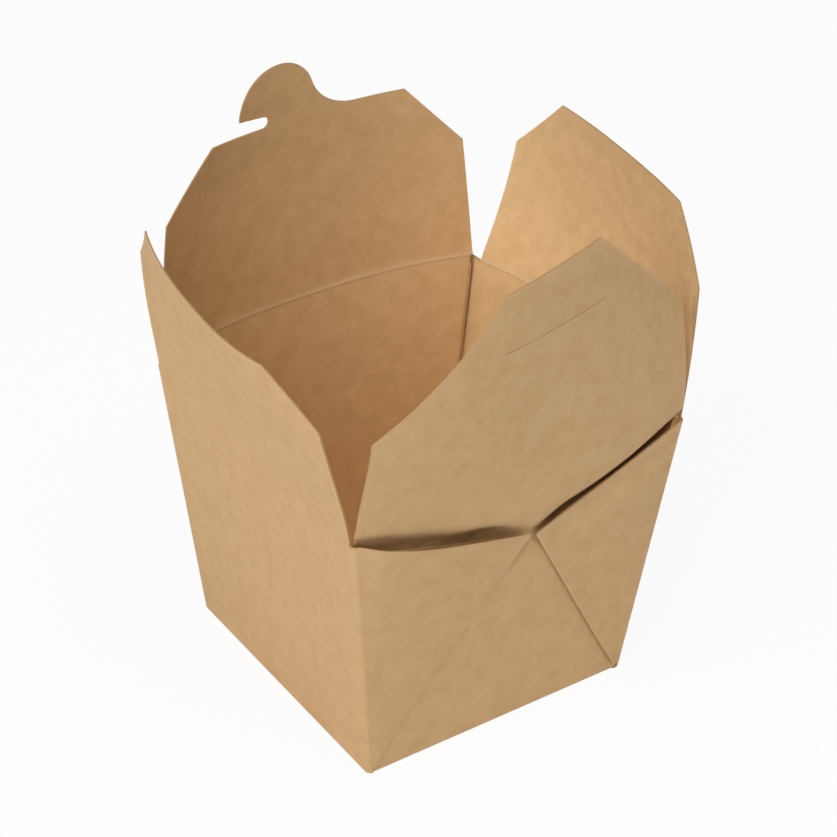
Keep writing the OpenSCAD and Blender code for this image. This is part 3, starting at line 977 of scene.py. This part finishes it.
class NOODLE_OT_stage(bpy.types.Operator):
    """Sets up the floor, the light and the camera"""
    bl_idname = "noodle.stage"
    bl_label = "Floor, light and camera"

    def execute(self, context):
        scene = context.scene
        scene.view_settings.view_transform = "Standard"
        self.floor(scene)
        self.light(scene)
        self.camera(scene)
        return {"FINISHED"}

    def floor(self, scene):
        reach, below = 3.0, 0.1 * MM
        corners = [(-reach, -reach, 0), (reach, -reach, 0), (reach, reach, 0), (-reach, reach, 0)]
        mesh = bpy.data.meshes.new("floor")
        mesh.from_pydata(corners, [], [(0, 1, 2, 3)])
        mesh.materials.append(pale_floor("matt_floor_paint", scene.noodle_colours.floor))
        floor = bpy.data.objects.new("floor", mesh)
        floor.location.z = -below
        scene.collection.objects.link(floor)

    def light(self, scene):
        set_up = scene.noodle_light
        world = bpy.data.worlds.new("soft_studio")
        world.use_nodes = True
        tree = world.node_tree
        tree.nodes.clear()
        strength = node(tree, "ShaderNodeMapRange", inputs={
            "Value": looked_at(tree), "To Min": set_up.sky, "To Max": 1.0}).outputs["Result"]
        sky = node(tree, "ShaderNodeBackground", inputs={
            "Color": (1, 1, 1, 1), "Strength": strength})
        node(tree, "ShaderNodeOutputWorld", inputs={"Surface": sky.outputs["Background"]})
        scene.world = world
        # Each lamp's place and width in metres; all are turned to the middle of the box
        target = Vector((0, 0, 0.08))
        for name, place, span, watts in (
                ("key_lamp", (-1.07, -0.33, 0.95), 1.0, set_up.key),
                ("fill_lamp", (0.1, -0.45, 1.45), 0.6, set_up.fill),
                ("top_lamp", (-0.15, 0.0, 1.5), 0.8, set_up.top),
                ("low_lamp", (0.25, -0.55, 0.04), 0.3, set_up.low)):
            data = bpy.data.lights.new(name, "AREA")
            data.shape, data.size, data.energy = "SQUARE", span, watts
            lamp = bpy.data.objects.new(name, data)
            lamp.location = place
            lamp.rotation_euler = (target - lamp.location).to_track_quat("-Z", "Y").to_euler()
            scene.collection.objects.link(lamp)

    def camera(self, scene):
        """Camera at the photograph's angle, from the measured turn, tilt, roll, distance and
        focal length."""
        turn, tilt, roll = (math.radians(a) for a in (-35.5392, 35.2032, 2.0498))
        distance, focal_px = 796.8 * MM, 2858.27
        aim_right, aim_up = 1.263 * MM, 27.041 * MM
        back = Vector((math.sin(turn) * math.cos(tilt), -math.cos(turn) * math.cos(tilt),
                       math.sin(tilt)))
        level = Vector((math.cos(turn), math.sin(turn), 0))
        rise = back.cross(level)
        right = math.cos(roll) * level + math.sin(roll) * rise
        up = -math.sin(roll) * level + math.cos(roll) * rise
        data = bpy.data.cameras.new("camera")
        data.sensor_width = SENSOR_MM
        data.lens = focal_px / IMAGE_PX * SENSOR_MM
        data.clip_start, data.clip_end = 0.05, 20
        camera = bpy.data.objects.new("camera", data)
        middle = Vector((0, 0, tub().rim_h / 2))
        place = back * distance + right * aim_right + up * aim_up + middle
        camera.matrix_world = Matrix((
            (right.x, up.x, back.x, place.x), (right.y, up.y, back.y, place.y),
            (right.z, up.z, back.z, place.z), (0, 0, 0, 1)))
        scene.collection.objects.link(camera)
        scene.camera = camera


class NOODLE_PT_box(bpy.types.Panel):
    """Lists the steps and sizes of the noodle box"""
    bl_idname = "NOODLE_PT_box"
    bl_label = "Noodle box"
    bl_space_type = "VIEW_3D"
    bl_region_type = "UI"
    bl_category = "Noodle box"

    def draw(self, context):
        for step in STEPS:
            self.layout.operator(step.bl_idname)
        for group in GROUPS.values():
            settings = getattr(context.scene, group)
            box = self.layout.box()
            for name in settings.bl_rna.properties.keys():
                if name not in ("rna_type", "name"):
                    box.prop(settings, name)


STEPS = (NOODLE_OT_card, NOODLE_OT_tub, NOODLE_OT_webs, NOODLE_OT_flaps, NOODLE_OT_stage)
GROUPS = {
    TubSizes: "noodle_tub",
    FlapSizes: "noodle_flaps",
    CardColours: "noodle_colours",
    BoxLight: "noodle_light",
}
CLASSES = (*GROUPS, *STEPS, NOODLE_PT_box)


def register():
    for cls in CLASSES:
        bpy.utils.register_class(cls)
    for cls, name in GROUPS.items():
        setattr(bpy.types.Scene, name, PointerProperty(type=cls))


def unregister():
    for name in GROUPS.values():
        delattr(bpy.types.Scene, name)
    for cls in reversed(CLASSES):
        bpy.utils.unregister_class(cls)


def main():
    register()
    for step in STEPS:
        group, name = step.bl_idname.split(".")
        getattr(getattr(bpy.ops, group), name)()
    bpy.context.view_layer.update()


if __name__ == "__main__":
    main()
